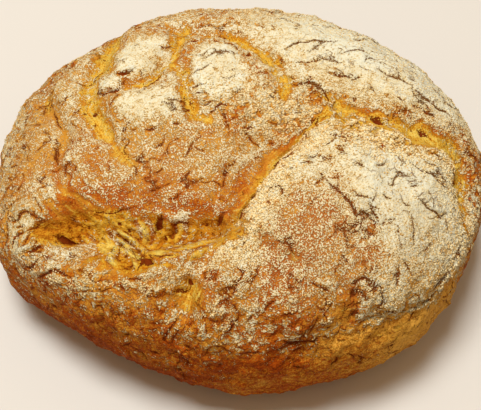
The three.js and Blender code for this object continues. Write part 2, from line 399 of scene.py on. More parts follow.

# Bubbles torn open in the crumb, left of the pocket: random places, radii, and the way each is drawn out.
# Each sinks the crumb, and its gold takes painted shade.
BUBBLES = 90
BUBBLE_RADII = (0.5, 1.3)
BUBBLES_LEFT_OF = -18
in_tear = np.nonzero(torn > -1)[0]
seats = in_tear[map_x[in_tear] < BUBBLES_LEFT_OF]
for seat in draw.choice(seats, BUBBLES):
    radius = draw.uniform(*BUBBLE_RADII)
    hollow = patch(place[seat], (1.8 * radius, radius), draw.normal(-25, 30), in_tear)
    crest[in_tear] -= 1.3 * radius * hollow
relief += crumb * (crest - CREST_LEVEL)
split = np.maximum(split, np.minimum(torn, 5) - 6.5 * darker_flanks)

# Flour lies where the dough was dusted: soft patches of it, more or less than the general dusting. There is
# little low on the sides, and less on the front left than elsewhere.
FLOUR = [
    ((68, 58), (58, 32), -18, 0.72), ((80, -30), (40, 24), -10, 0.58), ((48, -62), (46, 28), 0, 0.26),
    ((-60, -76), (42, 9), -8, 0.12), ((-35, -41), (50, 9), 0, -0.14), ((-108, -50), (16, 14), 0, 0.20),
    ((20, 10), (20, 12), 0, 0.05), ((26, -30), (24, 9), 55, 0.18), ((-84, 28), (9, 36), -14, 0.22),
    ((116, -58), (14, 28), -15, 0.45), ((68, -2), (42, 11), -8, -0.25), ((92, -106), (36, 10), 12, -0.25),
    ((-80, -102), (46, 16), -20, -0.35), ((104, 24), (14, 26), 10, 0.22),
    ((48, -32), (10, 7), -40, -0.15), ((39, -60), (24, 16), -15, -0.34), ((-27, -48), (5, 2.2), 15, 0.7),
    ((-105, 0), (20, 50), 0, -0.12), ((-90, -69), (8, 3), 0, 0.15), ((-84, -74), (6, 3), 0, 0.2),
    ((-78, -70), (5, 3), 0, 0.15), ((20, -108), (10, 6), 0, 0.15), ((-80, -47), (12, 7), -30, -0.12),
    ((-30, -16), (42, 17), 8, -0.04), ((6, 15), (38, 8), 5, 0.16), ((9, -28), (16, 6), 60, -0.3),
    ((-14, -28), (20, 8), 0, -0.12), ((-3, -98), (10, 13), 0, 0.12), ((70, -85), (11, 13), 0, 0.14),
    ((4, -126), (24, 6), 0, -0.2), ((24, -48), (9, 10), 0, -0.12), ((-34, 19), (7, 6), 0, 0.12),
    ((122, -6), (6, 16), 0, 0.12), ((106, 40), (12, 16), 0, 0.12), ((-108, -10), (9, 10), 0, -0.12),
    ((-128, 12), (9, 20), 0, 0.2), ((18, 2), (14, 7), 0, 0.16), ((20, -16), (12, 5), 50, -0.2),
]
DUSTING = 0.53
flour = DUSTING + patches(FLOUR)
flour *= 0.15 + 0.85 * ramp(ball[:, 2], 22, 70)
flour -= 0.22 * ramp(-map_y, 60, 105) * ramp(40 - map_x, -60, 20)
flour += 0.15 * fractal(ball, 16, 31)

# It is caked on the plates, the back right and the flap, where it breaks into crumbly islands, and a fine
# dusting elsewhere. The cake has a thickness.
PLATES = [
    ((-49, 48), (14, 17.5), 0, 0.42), ((-9, 34), (14.5, 22.5), 8, 0.46),
    ((-44, 12), (17, 12.5), 10, 0.30), ((-66, 32), (7.5, 5), -20, 0.40),
]
CAKES = [
    ((-49, 48), (13, 16), 0), ((-9, 34), (13, 20), 8), ((-44, 12), (16, 11), 10),
    ((68, 45), (65, 40), -15), ((82, -30), (40, 26), -12), ((-108, -50), (16, 14), 0),
    ((-60, -80), (45, 8), -8),
]
CRUMBLY = [
    ((70, -4), (50, 17), -8, 1), ((-60, -78), (50, 9), -8, 0.4), ((14, 14), (34, 16), 0, 0.6),
    ((118, -70), (18, 44), -10, 0.7),
]
flap = near["flap"]
lip = bell(flap["side"] - 9, 8) * ramp(flap["share"], 0, 0.3)
caked = np.clip(1.3 * np.max([patch(*cake) for cake in CAKES] + [lip], axis=0), 0, 1)
rough_front = ramp(-map_y, 75, 100)
crumbly = np.clip(patches(CRUMBLY), 0, 1)
crumbly = np.maximum(crumbly, np.maximum(0.8 * lip, 0.45 * rough_front))
clumps = 0.6 * noise(ball, 4.8, 41) + 0.6 * noise(ball, 2.6, 43)
for centre, reach, turn, amount in PLATES:
    broken_oval = patch(centre, reach, turn) + 0.12 * clumps + 0.10 * wander[:, 0]
    flour += amount * ramp(broken_oval, 0.28, 0.6)

# A fine even film of it lies on the flap's plateau and low right, down the left side and over the middle.
FILMS = [
    ((40, -66), (40, 24), -10), ((84, -72), (20, 16), -10), ((-104, 4), (18, 40), 0),
    ((-30, -16), (42, 17), 8),
]
filmed = np.max([patch(*film) for film in FILMS], axis=0)

# Bands of it run round the sides, about 5 mm high and a sixth of a radian long.
sides = np.column_stack([np.arctan2(map_y, map_x) * 6, ball[:, 2] / 5, 0 * angle])
bands = noise(sides, 1, 45) * ramp(66 - ball[:, 2], 0, 25)
flour += (0.2 + 0.25 * crumbly) * (1 - 0.7 * filmed) * clumps + 0.15 * lip + 0.12 * bands
flour += (0.3 + 0.2 * crumbly) * (1 - 0.6 * caked) * wrinkles

# Most of it is gone from the splits, and some from the left rim and the tear's far edge. Streaks of it are
# left at the tear's left end.
left_rim = near["left rim"]
ridges = ramp(1 - 2 * np.abs(noise(stretched(ragged, -52, 16, 3.0), 1, 22)), 0.3, 0.85)
streaks = (ridges - 0.4) * patch((-84, -39), (18, 12), -30)
flour -= (0.42 - 0.25 * clumps) * ramp(split, -3, 1.5)
flour -= 0.2 * bell(left_rim["side"], 4) * left_rim["ends"]
flour -= 0.12 * bell(torn + 4, 5) * ramp(map_y, -62, -52)
flour += strand_flour + 0.9 * streaks
relief += 0.7 * streaks

# Bare ovals, where the skin is drawn thin or has rubbed off: centre, reach, turn, how far they have opened,
# how much flour is gone, and what breaks up their edges.
BARE = [
    ((70, 0), (44, 11), -8, 2, 0, clumps), ((-80, -43), (14, 5), -35, -1, 0, -ridges),
    ((-92, -54), (9, 6), -10, 2, 0.3, clumps), ((-70, 57), (8, 22), 5, 3, 0.2, clumps),
    ((99, 0), (14, 9), 0, 2.5, 0.3, clumps), ((114, -26), (5, 20), 5, 0.5, 0.05, clumps),
    ((62, -59), (4, 3), -40, -1, 0.4, clumps), ((-79, -72), (6, 1.8), -30, -1, 0.4, clumps),
    ((84, -104), (38, 9), 14, -1.5, 0.2, clumps), ((13, -66), (7, 3.2), -25, -1.5, 0.22, clumps),
    ((26, -73), (3.2, 4.5), 60, -1, 0.28, clumps), ((51, -94), (7, 9), 0, -1, 0.35, clumps),
    ((-22, -89), (8, 9), 20, 1.2, 0.4, clumps),
]
for centre, reach, turn, opening, lost, rough in BARE:
    oval = patch(centre, reach, turn)
    outside = 15 * (1 - ramp(oval, 0.05, 0.45))
    split = np.maximum(split, opening - 4.5 * (1 - oval) + 1.5 * rough - outside)
    flour -= lost * ramp(oval + 0.2 * clumps, 0.3, 0.7)

# Lines where the skin was drawn tight towards the tear, bare and a little sunken.
TIGHT_LINES = [
    [(-91, -21), (-89, -28), (-86, -33), (-81, -34), (-76, -37), (-73, -40), (-70, -43), (-63, -44),
     (-56, -43)],
    [(-91, -42), (-88, -46), (-86, -47), (-85, -51)], [(-94, -34), (-91, -41), (-89, -44)],
    [(-80, -36), (-77, -40), (-74, -43)], [(-85, -38), (-82, -42), (-78, -44)],
]
for path in TIGHT_LINES:
    signed, share, _ = beside(path, less_ragged)
    line = bell(signed, 1.4) * faded_ends(share, 0.15, 0.15)
    flour -= 0.5 * line
    relief -= 0.6 * line
    split = np.maximum(split, 4 * line - 4.5)

# Under the front lip the crust is bare and smooth, drawn out round the foot.
front_lip = near["front lip"]
bare_foot = ramp(-front_lip["side"], 0, 7) * faded_ends(front_lip["share"], 0.15, 0.1)
flour -= 0.3 * bare_foot

# For the material: how far flour lies in single grains, how far its cake is crazed, how far the crust
# lifts in layers, and how far it is streaked along the folds.
dust = 1 - 0.5 * np.maximum(caked, crumbly)
crazed = np.clip(patches([((82, -28), (32, 24), -10, 1), ((66, 46), (50, 26), -15, 0.7)]), 0, 1)
flaky = ramp(82 - ball[:, 2], 0, 22) * (1 - crumb) * (1 - 0.2 * bare_foot)
drawn = np.where(flap["side"] > 0, 0.3, 1) * bell(nearest - 5, 10) + patch((118, -66), (16, 44), -10)
drawn = np.maximum(drawn * (1 - 0.6 * ramp(-map_x, 78, 90)), bare_foot)

# The thickness of the flour, and the crags of the crust.
CRAGS = [(6, 0.6, 51), (3.2, 0.5, 52), (2.1, 0.5, 53)]
skin = ramp(flour, 0.42, 0.58)
crag = sum(height * noise(ball, length, seed) for length, height, seed in CRAGS)
relief += (0.3 + 0.8 * crumbly) * skin + (0.5 + 0.3 * rough_front) * crag * (1 - 0.5 * crumb)
relief += 0.3 * bands + (0.3 + 0.4 * rough_front) * (1 - 0.6 * bare_foot) * clumps * dust
relief += 0.6 * caked * noise(ball, 9, 55)

# Every crack goes into two fields: the distance from the middle of the nearest, negative on its right, and
# how far it gapes on each side. Between them they keep a line sharp that is thinner than a cell.
FAR_FROM_CRACK = 4.0
rift = np.full(len(place), FAR_FROM_CRACK)
gape = np.zeros(len(place))
everywhere = np.arange(len(place))


def open_crack(here, signed, half):
    """Takes a crack into the fields at the given places, where its edge is nearer than any before it."""
    nearer = np.abs(signed) - half < np.abs(rift[here]) - gape[here]
    rift[here] = np.where(nearer, signed, rift[here])
    gape[here] = np.where(nearer, half, gape[here])


# Flakes: the skin has broken along wandering lines, and stands a little higher on one side of each. Length,
# half width of the crack, height of the step, how much of each line is whole, and seed.
FLAKES = [(20, 0.15, 0.5, 0.1, 81), (11, 0.05, 0.3, 0.25, 91)]
for length, half, height, whole, seed in FLAKES:
    level = noise(ball, length, seed) + 0.3 * noise(ball, length * 0.35, seed + 1)
    level += 0.1 * noise(ball, 2.5, seed + 2)
    kept = ramp(noise(ball, length * 0.6, seed + 3), whole - 0.1, whole + 0.15) * (1 - crumb)
    relief += height * kept * ramp(level, -0.08, 0.08)
    open_crack(everywhere, level * length * 0.45, half - 4 * (1 - kept))

# Cracks in the floury skin, each with one edge lifted: the paths of each half width.
CRACKS = {0.3: [
    [(-76, -42), (-70, -43), (-61, -45), (-56, -44), (-50, -43)], [(33, 2), (36, -1), (39, 0), (41, 4)],
    [(74, -56), (75, -63), (76, -67)], [(-28, -99), (-33, -104), (-36, -107)],
    [(22, -66), (24, -70), (26, -72)], [(1, -79), (3, -81)], [(-100, -34), (-97, -39), (-96, -42)],
    [(-112, -46), (-108, -47)], [(-116, -33), (-119, -37), (-120, -47), (-122, -57)],
    [(-116, -33), (-111, -31)],
], 0.35: [
    [(-22, 22), (-17, 22)], [(-20, 18), (-15, 17)], [(-61, 45), (-56, 45)], [(-40, 57), (-34, 59)],
    [(81, -49), (82, -55), (82, -61)],
], 0.4: [
    [(37, 48), (41, 53), (45, 58)], [(88, 36), (92, 36)], [(30, 40), (45, 43), (52, 41)],
    [(42, 46), (46, 42), (54, 41)], [(-42, -69), (-34, -71), (-28, -71)], [(92, -17), (99, -18)],
    [(30, -26), (35, -27)], [(78, -71), (83, -76)], [(75, -74), (75, -82)], [(62, -47), (64, -42)],
    [(4, -79), (3, -81), (1, -85), (0, -87), (-3, -91), (-4, -95)], [(74, -75), (75, -80), (74, -83)],
    [(64, -85), (68, -88), (69, -92)], [(47, -73), (50, -75)], [(26, -83), (28, -84), (30, -83)],
    [(117, -48), (115, -56), (112, -63)], [(112, -62), (110, -68), (107, -74)],
    [(108, -67), (106, -73), (101, -80)], [(106, -77), (102, -84), (96, -88)],
    [(-104, -50), (-100, -48), (-96, -46)], [(-119, -64), (-119, -68), (-115, -70)],
], 0.45: [
    [(91, 21), (96, 22)], [(89, 18), (94, 18)], [(-24, 29), (-20, 32), (-16, 34), (-14, 36)],
    [(-16, 12), (-11, 13)], [(15, -116), (24, -113), (31, -112)],
], 0.5: [
    [(25, 50), (32, 55), (45, 58), (52, 60)], [(52, 48), (62, 52), (70, 52)],
    [(-17, 40), (-12, 44), (-7, 45), (-3, 45)], [(-13, 7), (-8, 11), (-4, 11)], [(-31, 0), (-28, 0)],
    [(-48, -20), (-45, -17)], [(3, -1), (8, 1)], [(65, -27), (67, -26), (71, -23)],
    [(71, -34), (73, -35), (74, -32), (76, -29), (79, -28), (83, -28)], [(54, -45), (57, -45), (61, -45)],
    [(77, -42), (79, -44), (81, -44)], [(84, -20), (90, -23), (95, -23), (100, -26), (106, -27)],
    [(31, -22), (35, -24), (37, -23), (39, -21)], [(68, -42), (70, -43)], [(83, -33), (86, -32)],
    [(34, -84), (39, -86), (42, -87)], [(-55, -110), (-51, -113), (-50, -120)],
    [(-105, -57), (-104, -54), (-103, -52)], [(-109, -66), (-105, -67), (-100, -67), (-97, -65)],
    [(-98, 24), (-95, 16), (-92, 10)],
], 0.55: [
    [(-117, -41), (-111, -43), (-109, -41), (-105, -40), (-101, -43), (-97, -45)],
], 0.6: [
    [(66, 47), (73, 47), (80, 43)], [(93, 7), (97, 6), (99, 5)], [(73, 39), (77, 36), (84, 34), (88, 32)],
    [(46, 32), (52, 30), (58, 30)], [(110, 33), (114, 31), (120, 30)], [(63, 68), (68, 71), (71, 74)],
    [(0, 18), (3, 21)], [(-47, 23), (-44, 31), (-39, 35)], [(-44, -3), (-40, -3)],
    [(89, -40), (93, -42), (97, -43), (99, -44), (104, -41)],
    [(-99, -71), (-95, -72), (-87, -71), (-84, -72), (-80, -74), (-75, -77)], [(-62, -110), (-54, -108)],
], 0.65: [
    [(39, -34), (45, -43), (49, -46), (52, -50), (54, -54), (57, -52), (62, -55), (63, -58)],
], 0.7: [
    [(89, 28), (93, 27), (99, 25), (103, 22), (108, 22), (111, 19)], [(96, 17), (101, 15)],
    [(-6, 55), (-1, 53), (1, 50)], [(-20, 67), (-10, 68), (-4, 67)],
    [(-73, 29), (-66, 24), (-63, 27), (-60, 29)], [(-32, -51), (-29, -50.5), (-25, -50.5)],
    [(60, -48), (62, -51), (64, -55)], [(53, -83), (55, -82), (58, -81), (62, -82), (67, -84)],
    [(-105, -60), (-102, -60), (-99, -59), (-97, -59)], [(28, 28), (38, 24), (46, 16)],
], 0.8: [
    [(-25, 58), (-21, 58)], [(-113, -55), (-113, -52), (-110, -50), (-107, -50)],
    [(-92, -3), (-93, -8), (-92, -13)],
], 0.9: [
    [(-61, 36), (-57, 36), (-53, 37)], [(23, -110), (26, -111), (30, -111), (37, -111), (44, -108)],
    [(-46, -122), (-41, -126), (-31, -125)],
], 1.4: [
    [(-9, -52), (-7, -49)],
], 1.6: [
    [(69, 8), (73, 6)],
], 1.9: [
    [(-46, -71), (-42, -72.5), (-39, -74)], [(-93, -53), (-90, -55), (-87, -56)],
], 2.0: [
    [(-41, -52), (-38, -48)],
]}

# Small cracks strewn over the floury fields: centre, reach, number, and the way they run.
CRACK_FIELDS = [
    ((68, 50), (55, 28), 20, -15), ((84, -22), (32, 26), 14, -20), ((50, -70), (45, 26), 16, -5),
    ((-40, -12), (50, 25), 16, 20), ((-105, 0), (18, 40), 18, 70), ((-60, -85), (50, 16), 24, -10),
    ((10, 95), (80, 30), 30, 0), ((20, -105), (75, 14), 55, 0),
]
STREWN_HALF_WIDTHS = (0.2, 0.5)
STREWN_STEPS = (0.8, 3.2)


def strewn_cracks(centre, reach, count, heading):
    """Short wandering paths with their half widths.

    Each starts at a random place in an oval, and turns a little at each of its three steps.
    """
    starts = centre + draw.normal(size=(count, 2)) * 0.6 * np.array(reach)
    headings = heading + 24 * draw.normal(size=(count, 1))
    turns = np.radians(headings + 30 * np.cumsum(draw.normal(size=(count, 3)), 1))
    steps = draw.uniform(*STREWN_STEPS, (count, 1, 1)) * np.stack([np.cos(turns), np.sin(turns)], -1)
    walks = starts[:, None] + np.concatenate([np.zeros((count, 1, 2)), np.cumsum(steps, 1)], 1)
    return list(zip(walks, draw.uniform(*STREWN_HALF_WIDTHS, count)))


CRACK_REACH = 7
jags = np.column_stack([noise(ball, 3.2, 95), noise(ball, 3.2, 96)])
placed_cracks = [(path, half) for half, paths in CRACKS.items() for path in paths]
strewn = sum((strewn_cracks(*crack_field) for crack_field in CRACK_FIELDS), [])
for path, half in placed_cracks + strewn:
    low, high = np.min(path, 0) - CRACK_REACH, np.max(path, 0) + CRACK_REACH
    close = np.nonzero(np.all((place > low) & (place < high), 1))[0]
    if len(close) == 0:
        continue
    signed, share, _ = beside(path, place[close] + 0.6 * jags[close])
    half_here = half * (0.2 + 0.8 * np.sin(np.pi * np.clip(share, 0.04, 0.96))) * (1 + 0.5 * clumps[close])
    groove = bell(signed, half_here + 0.35)
    lifted = np.where(signed > 0, bell(signed - 1.6, 1.1), 0)
    relief[close] += half * (0.8 * lifted - 1.4 * groove)
    open_crack(close, signed, 0.9 * half_here - 0.1 * crag[close])
    flour[close] += 0.10 * lifted

# The cuts along one flank of the thin strands in the tear.
for signed, half in flanks:
    open_crack(everywhere, signed, half)

# The crease at the flap's foot, with a dark line and darker gold beside it, both painted shade in the
# crease.
CREASE_DEPTH = 2.5
CREASE_HALF_WIDTH = 1.6
relief -= CREASE_DEPTH * bell(flap["side"], CREASE_HALF_WIDTH) * flap["ends"]
split -= 3 * bell(flap["side"] + 4, 5) * flap["ends"]
open_crack(everywhere, flap["side"], 0.9 * flap["ends"] - 3 * (1 - flap["ends"]))

# Pits where bubbles broke through: place and radius.
PITS = [
    (-74, 16, 2.2), (-79, 17, 1.5), (115, -18, 2.0), (-6, -24, 1.7), (-73, 8, 1.3), (54, -88, 2.2),
    (56, -96, 2.2), (-64, 73, 1.4), (-104, 34, 2.2), (95, 5, 1.6), (18, 19, 1.4), (38, 6, 1.3),
    (-34, 48, 1.2), (59, 18, 1.3), (28, 18, 1.2), (-22, -83, 1.8), (-59, -50, 1.6), (-26, -63, 1.7),
    (-15, -51, 1.2), (-55, -68, 1.1), (-56, -70, 0.9), (-51, -71, 0.9), (-50, -74, 1.4), (-37, -57, 1.7),
    (-33, -54, 1.2), (-46, -58, 1.2), (-55, -53, 1.3), (-78, -48, 1.2),
]
for x, y, radius in PITS:
    distance = np.hypot(map_x - x, map_y - y) + 0.4 * crag
    relief -= 0.8 * radius * bell(distance, radius)
    open_crack(everywhere, distance, 0.6 * radius)
crack = np.abs(rift) - gape

# Browning: darkest low on the front, behind the tear and on the flap's front, palest low on the right.
# The two thin bands low on the front are painted shadow under the front lip.
BROWNED_AND_SHADED = [
    ((105, -100), (40, 40), 0, -0.64), ((45, -64), (45, 26), 0, 0.4), ((-105, 0), (24, 60), 0, -0.1),
    ((12, -122), (26, 4), 0, 0.3), ((2, -127), (26, 6), 0, 0.12),
]
bake_and_shade = 0.45 + patches(BROWNED_AND_SHADED) + 0.2 * fractal(ball, 22, 61)
bake_and_shade += 0.12 * crag - 0.22 * wrinkles - 0.12 * bands - 0.2 * bare_foot - 0.25 * streaks
# Darker still low on the front: partly browning, partly painted shade on the low sides.
bake_and_shade += 0.28 * ramp(75 - ball[:, 2], 0, 50) * ramp(-map_y, 20, 80)
bake_and_shade += 0.2 * bell(tear["side"] + behind_it + 5, 8) * tear["ends"]

# Below the girth the relief fades out towards the foot.
RELIEF_FADES = np.radians((104, 122))
relief *= 1 - ramp(angle, *RELIEF_FADES)

# The flap's edge leans over the sunken side, so its foot lies in a narrow shaded crease.
LEAN = 2.5
leaning = np.where(flap["side"] > -2, LEAN * flap["ends"] * bell(flap["side"] - 4.5, 4.5), 0)
leaning_place = place - flap["away"] * (np.sign(flap["side"]) * leaning)[:, None]
ball, out, _ = plain_ball(leaning_place)
crust = ball + out * relief[:, None]
crust[:, 2] = np.maximum(crust[:, 2], 0)

# The underside: the foot's edge carried in to the middle of the flat base, ring by ring.
BASE_SHARES = (0.97, 0.85, 0.65, 0.4, 0.15)
index = everywhere.reshape(CELLS + 1, CELLS + 1)
foot = np.concatenate([index[0, :-1], index[:-1, -1], index[-1, :0:-1], index[:0:-1, 0]])
crust[foot, 2] = 0
base = np.concatenate([crust[foot] * (inwards, inwards, 1) for inwards in BASE_SHARES] + [np.zeros((1, 3))])
points = np.vstack([crust, base])
middle = (points.min(0) + points.max(0)) / 2 * (1, 1, 0)
points -= middle

cells = np.stack([index[:-1, :-1], index[:-1, 1:], index[1:, 1:], index[1:, :-1]], -1).reshape(-1, 4)
base_rings = len(place) + np.arange(len(foot) * len(BASE_SHARES)).reshape(len(BASE_SHARES), -1)
rings = np.vstack([foot, base_rings])
inner, outer = rings[1:], rings[:-1]
base_cells = np.stack([outer, inner, np.roll(inner, -1, 1), np.roll(outer, -1, 1)], -1).reshape(-1, 4)
base_fan = np.stack([rings[-1], np.full(len(foot), len(points) - 1), np.roll(rings[-1], -1)], -1)


def surface(name, points, *faces):
    """A smooth-shaded mesh from points and arrays of faces, with its object at the origin."""
    mesh = bpy.data.meshes.new(name)
    mesh.vertices.add(len(points))
    mesh.vertices.foreach_set("co", np.asarray(points, np.float32).ravel())
    sizes = np.concatenate([np.full(len(f), f.shape[1]) for f in faces])
    mesh.loops.add(int(sizes.sum()))
    mesh.loops.foreach_set("vertex_index", np.concatenate([f.ravel() for f in faces]).astype(np.int32))
    mesh.polygons.add(len(sizes))
    mesh.polygons.foreach_set("loop_start", np.concatenate([[0], np.cumsum(sizes)[:-1]]).astype(np.int32))
    mesh.polygons.foreach_set("use_smooth", np.ones(len(sizes), bool))
    mesh.update(calc_edges=True)
    mesh.validate()
    piece = bpy.data.objects.new(name, mesh)
    bpy.context.scene.collection.objects.link(piece)
    return piece


def carry(piece, name, values):
    """Gives each vertex of a piece its number, or its vector, as an attribute of that name."""
    kind, key = ("FLOAT", "value") if values.ndim == 1 else ("FLOAT_VECTOR", "vector")
    attribute = piece.data.attributes.new(name, kind, "POINT")
    attribute.data.foreach_set(key, values.astype(np.float32).ravel())


# Each field goes to the material as an attribute, with one value for the whole underside.
loaf = surface("spelt_loaf", points * MM, cells, base_cells, base_fan)
CREST_RANGE = (-2.4, 1.4)
fields = {
    "flour": (flour, 0.2), "dust": (dust, 1), "filmed": (filmed, 0), "crumbly": (crumbly, 0),
    "drawn": (drawn, 0), "flaky": (flaky, 0.5), "crazed": (crazed, 0), "bake_and_shade": (bake_and_shade, 0.8),
    "split": (split, NO_SPLIT), "crumb": (crumb, 0), "crest": (np.clip(crest, *CREST_RANGE) * crumb, 0),
    "rift": (np.clip(rift, -FAR_FROM_CRACK, FAR_FROM_CRACK), FAR_FROM_CRACK), "gape": (gape, 0),
    "crack": (crack, FAR_FROM_CRACK),
}
for name, (values, below) in fields.items():
    carry(loaf, name, np.concatenate([values, np.full(len(base), below)]))
carry(loaf, "lie", np.vstack([lie, base]))


def linear(colour):
    """An sRGB hex colour as linear red, green, blue and a full alpha."""
    parts = [int(colour[i:i + 2], 16) / 255 for i in (1, 3, 5)]
    return [p / 12.92 if p <= 0.04045 else ((p + 0.055) / 1.055) ** 2.4 for p in parts] + [1]


def new_material(name, **sockets):
    """A node material with values on its shader's sockets, its node tree, and the shader."""
    material = bpy.data.materials.new(name)
    material.use_nodes = True
    shader = material.node_tree.nodes["Principled BSDF"]
    for key, value in sockets.items():
        shader.inputs[key.replace("_", " ")].default_value = value
    return material, material.node_tree, shader


def node(tree, kind, settings=(), output=0, stops=(), **links):
    """Adds a node and gives one of its outputs.

    Settings go on its properties, and stops, of position and sRGB hex colour, on its colour ramp. Each link
    is a value or another node's output, for the input of that name, or of the number after an underscore.
    """
    made = tree.nodes.new("ShaderNode" + kind)
    for key, value in dict(settings).items():
        setattr(made, key, value)
    for number, (position, colour) in enumerate(stops):
        elements = made.color_ramp.elements
        element = elements[number] if number < 2 else elements.new(position)
        element.position = position
        element.color = linear(colour)
    for key, value in links.items():
        socket = made.inputs[int(key[1:])] if key[1:].isdigit() else made.inputs[key.replace("_", " ")]
        if isinstance(value, bpy.types.NodeSocket):
            tree.links.new(value, socket)
        else:
            socket.default_value = value
    return made.outputs[output]


# Settings of nodes that are used over and over.
TIMES = {"operation": "MULTIPLY"}
OVER = {"operation": "DIVIDE"}
PLUS = {"operation": "ADD"}
LESS = {"operation": "SUBTRACT"}
LARGER = {"operation": "MAXIMUM"}
SCALE_ADD = {"operation": "MULTIPLY_ADD"}
SMOOTH = {"interpolation_type": "SMOOTHSTEP"}
BLEND = {"data_type": "RGBA"}

# Floury bread crust: dry and matt, cream where flour lies, browned where it is bare, golden in the splits.
crust_material, tree, shader = new_material(
    "floury_bread_crust", Roughness=0.85, Specular_IOR_Level=0.08, IOR=1.45)
spot = node(tree, "TexCoord", output="Object")
turned = node(tree, "Mapping", Vector=spot, Rotation=(0.6, 0.4, 0.7))
field = {name: node(tree, "Attribute", {"attribute_name": name}, "Fac") for name in fields}

# The grain of flour and crust, its clumps, flecks of bran, and pores in the crumb. Real grains of flour
# are a few times finer: they are drawn as coarse as they need to be to show.
GRAIN = 0.74 * MM
CLUMP = 2.6 * MM
BRAN = 1.9 * MM
PORE = 2.8 * MM
grain = node(tree, "TexNoise", Vector=turned, Scale=1 / GRAIN, Detail=1.0, Roughness=0.6)
clump = node(tree, "TexNoise", Vector=turned, Scale=1 / CLUMP, Detail=3.0, Roughness=0.6)
fleck_away = node(tree, "TexVoronoi", Vector=spot, Scale=1 / BRAN)
pore_away = node(tree, "TexVoronoi", Vector=spot, Scale=1 / PORE)
pore_away = node(tree, "Math", SCALE_ADD, _0=clump, _1=2.0, _2=pore_away)
pore = node(tree, "MapRange", SMOOTH, Value=pore_away, From_Min=0.9, From_Max=1.4, To_Min=1.0, To_Max=0.0)
pore = node(tree, "Math", TIMES, _0=pore, _1=field["crumb"])

# Flakes and streaks lie along the folds, in mm along and across the nearest one.
FLAKE = (4.5, 2.0, 1)
STREAK = (12, 1.3, 1)
fold_place = node(tree, "Attribute", {"attribute_name": "lie"}, "Vector")
flake_place = node(tree, "VectorMath", OVER, _0=fold_place, _1=FLAKE)
streak_place = node(tree, "VectorMath", OVER, _0=fold_place, _1=STREAK)
flake = node(tree, "TexNoise", Vector=flake_place, Scale=1.0, Detail=3.0, Roughness=0.6)
streak = node(tree, "TexNoise", Vector=streak_place, Scale=1.0)

# Thin layers of crust have lifted and flaked off the sides, drawn out round them, with painted shadow under
# each.
LAYER = (14 * MM, 14 * MM, 6 * MM)
layer_place = node(tree, "VectorMath", OVER, _0=spot, _1=LAYER)
layer = node(tree, "TexNoise", Vector=layer_place, Scale=1.0, Roughness=0.45)
layer = node(tree, "Math", TIMES, _0=layer, _1=5.0)
ledge = node(tree, "Math", {"operation": "FRACT"}, _0=layer)
painted_ledge_shadow = node(tree, "MapRange", SMOOTH, Value=ledge, From_Max=0.22, To_Min=1.0, To_Max=0.0)
lifted_and_shaded = node(tree, "MapRange", SMOOTH, Value=clump, From_Min=0.42, From_Max=0.58)
lifted_and_shaded = node(tree, "Math", TIMES, _0=lifted_and_shaded, _1=field["flaky"])
painted_ledge_shadow = node(tree, "Math", TIMES, _0=painted_ledge_shadow, _1=lifted_and_shaded)

# Bare crust: orange-brown, darker where baked hard and where painted shade is carried in with the browning.
baked_and_shaded = field["bake_and_shade"]
for part, weight in ((clump, 1.1), (grain, 1.3), (streak, 0.5)):
    baked_and_shaded = node(tree, "Math", SCALE_ADD, _0=part, _1=weight, _2=baked_and_shaded)
baked_and_shaded = node(tree, "MapRange", Value=baked_and_shaded, From_Min=1.35, From_Max=2.55)
brown = node(tree, "ValToRGB", Fac=baked_and_shaded, stops=[
    (0.0, "#DCA242"), (0.3, "#C08024"), (0.6, "#A64A06"), (1.0, "#7E2E02")])

# Splits: golden, with darker pores, evener in the torn crumb and darker towards their edges.
pored = node(tree, "Math", SCALE_ADD, _0=grain, _1=1.4, _2=streak)
pored = node(tree, "Math", PLUS, _0=pored, _1=clump)
calm = node(tree, "MapRange", Value=field["crumb"], To_Min=1.3, To_Max=0.6)
even = node(tree, "MapRange", Value=field["crumb"], To_Min=-0.39, To_Max=0.88)
pored = node(tree, "Math", SCALE_ADD, _0=pored, _1=calm, _2=even)
# The crest paints the crumb's gold lighter on its crests and darker in its hollows: painted light and shade.
pored = node(tree, "Math", SCALE_ADD, _0=field["crest"], _1=0.24, _2=pored)
inset = node(tree, "MapRange", Value=field["split"], From_Min=-1.0, From_Max=4.0, To_Min=-0.32, To_Max=0.0)
pored = node(tree, "Math", PLUS, _0=pored, _1=inset)
pored = node(tree, "Math", SCALE_ADD, _0=pore, _1=-0.2, _2=pored)
pored = node(tree, "MapRange", Value=pored, From_Min=0.95, From_Max=2.1)
golden = node(tree, "ValToRGB", Fac=pored, stops=[
    (0.0, "#703402"), (0.25, "#AE6607"), (0.55, "#CC9826"), (1.0, "#DEC25E")])
opened = node(tree, "Math", SCALE_ADD, _0=clump, _1=7.0, _2=field["split"])
opened = node(tree, "Math", SCALE_ADD, _0=streak, _1=3.0, _2=opened)
opened = node(tree, "MapRange", SMOOTH, Value=opened, From_Min=2.0, From_Max=6.0)
bare_crust = node(tree, "Mix", BLEND, 2, _0=opened, _6=brown, _7=golden)

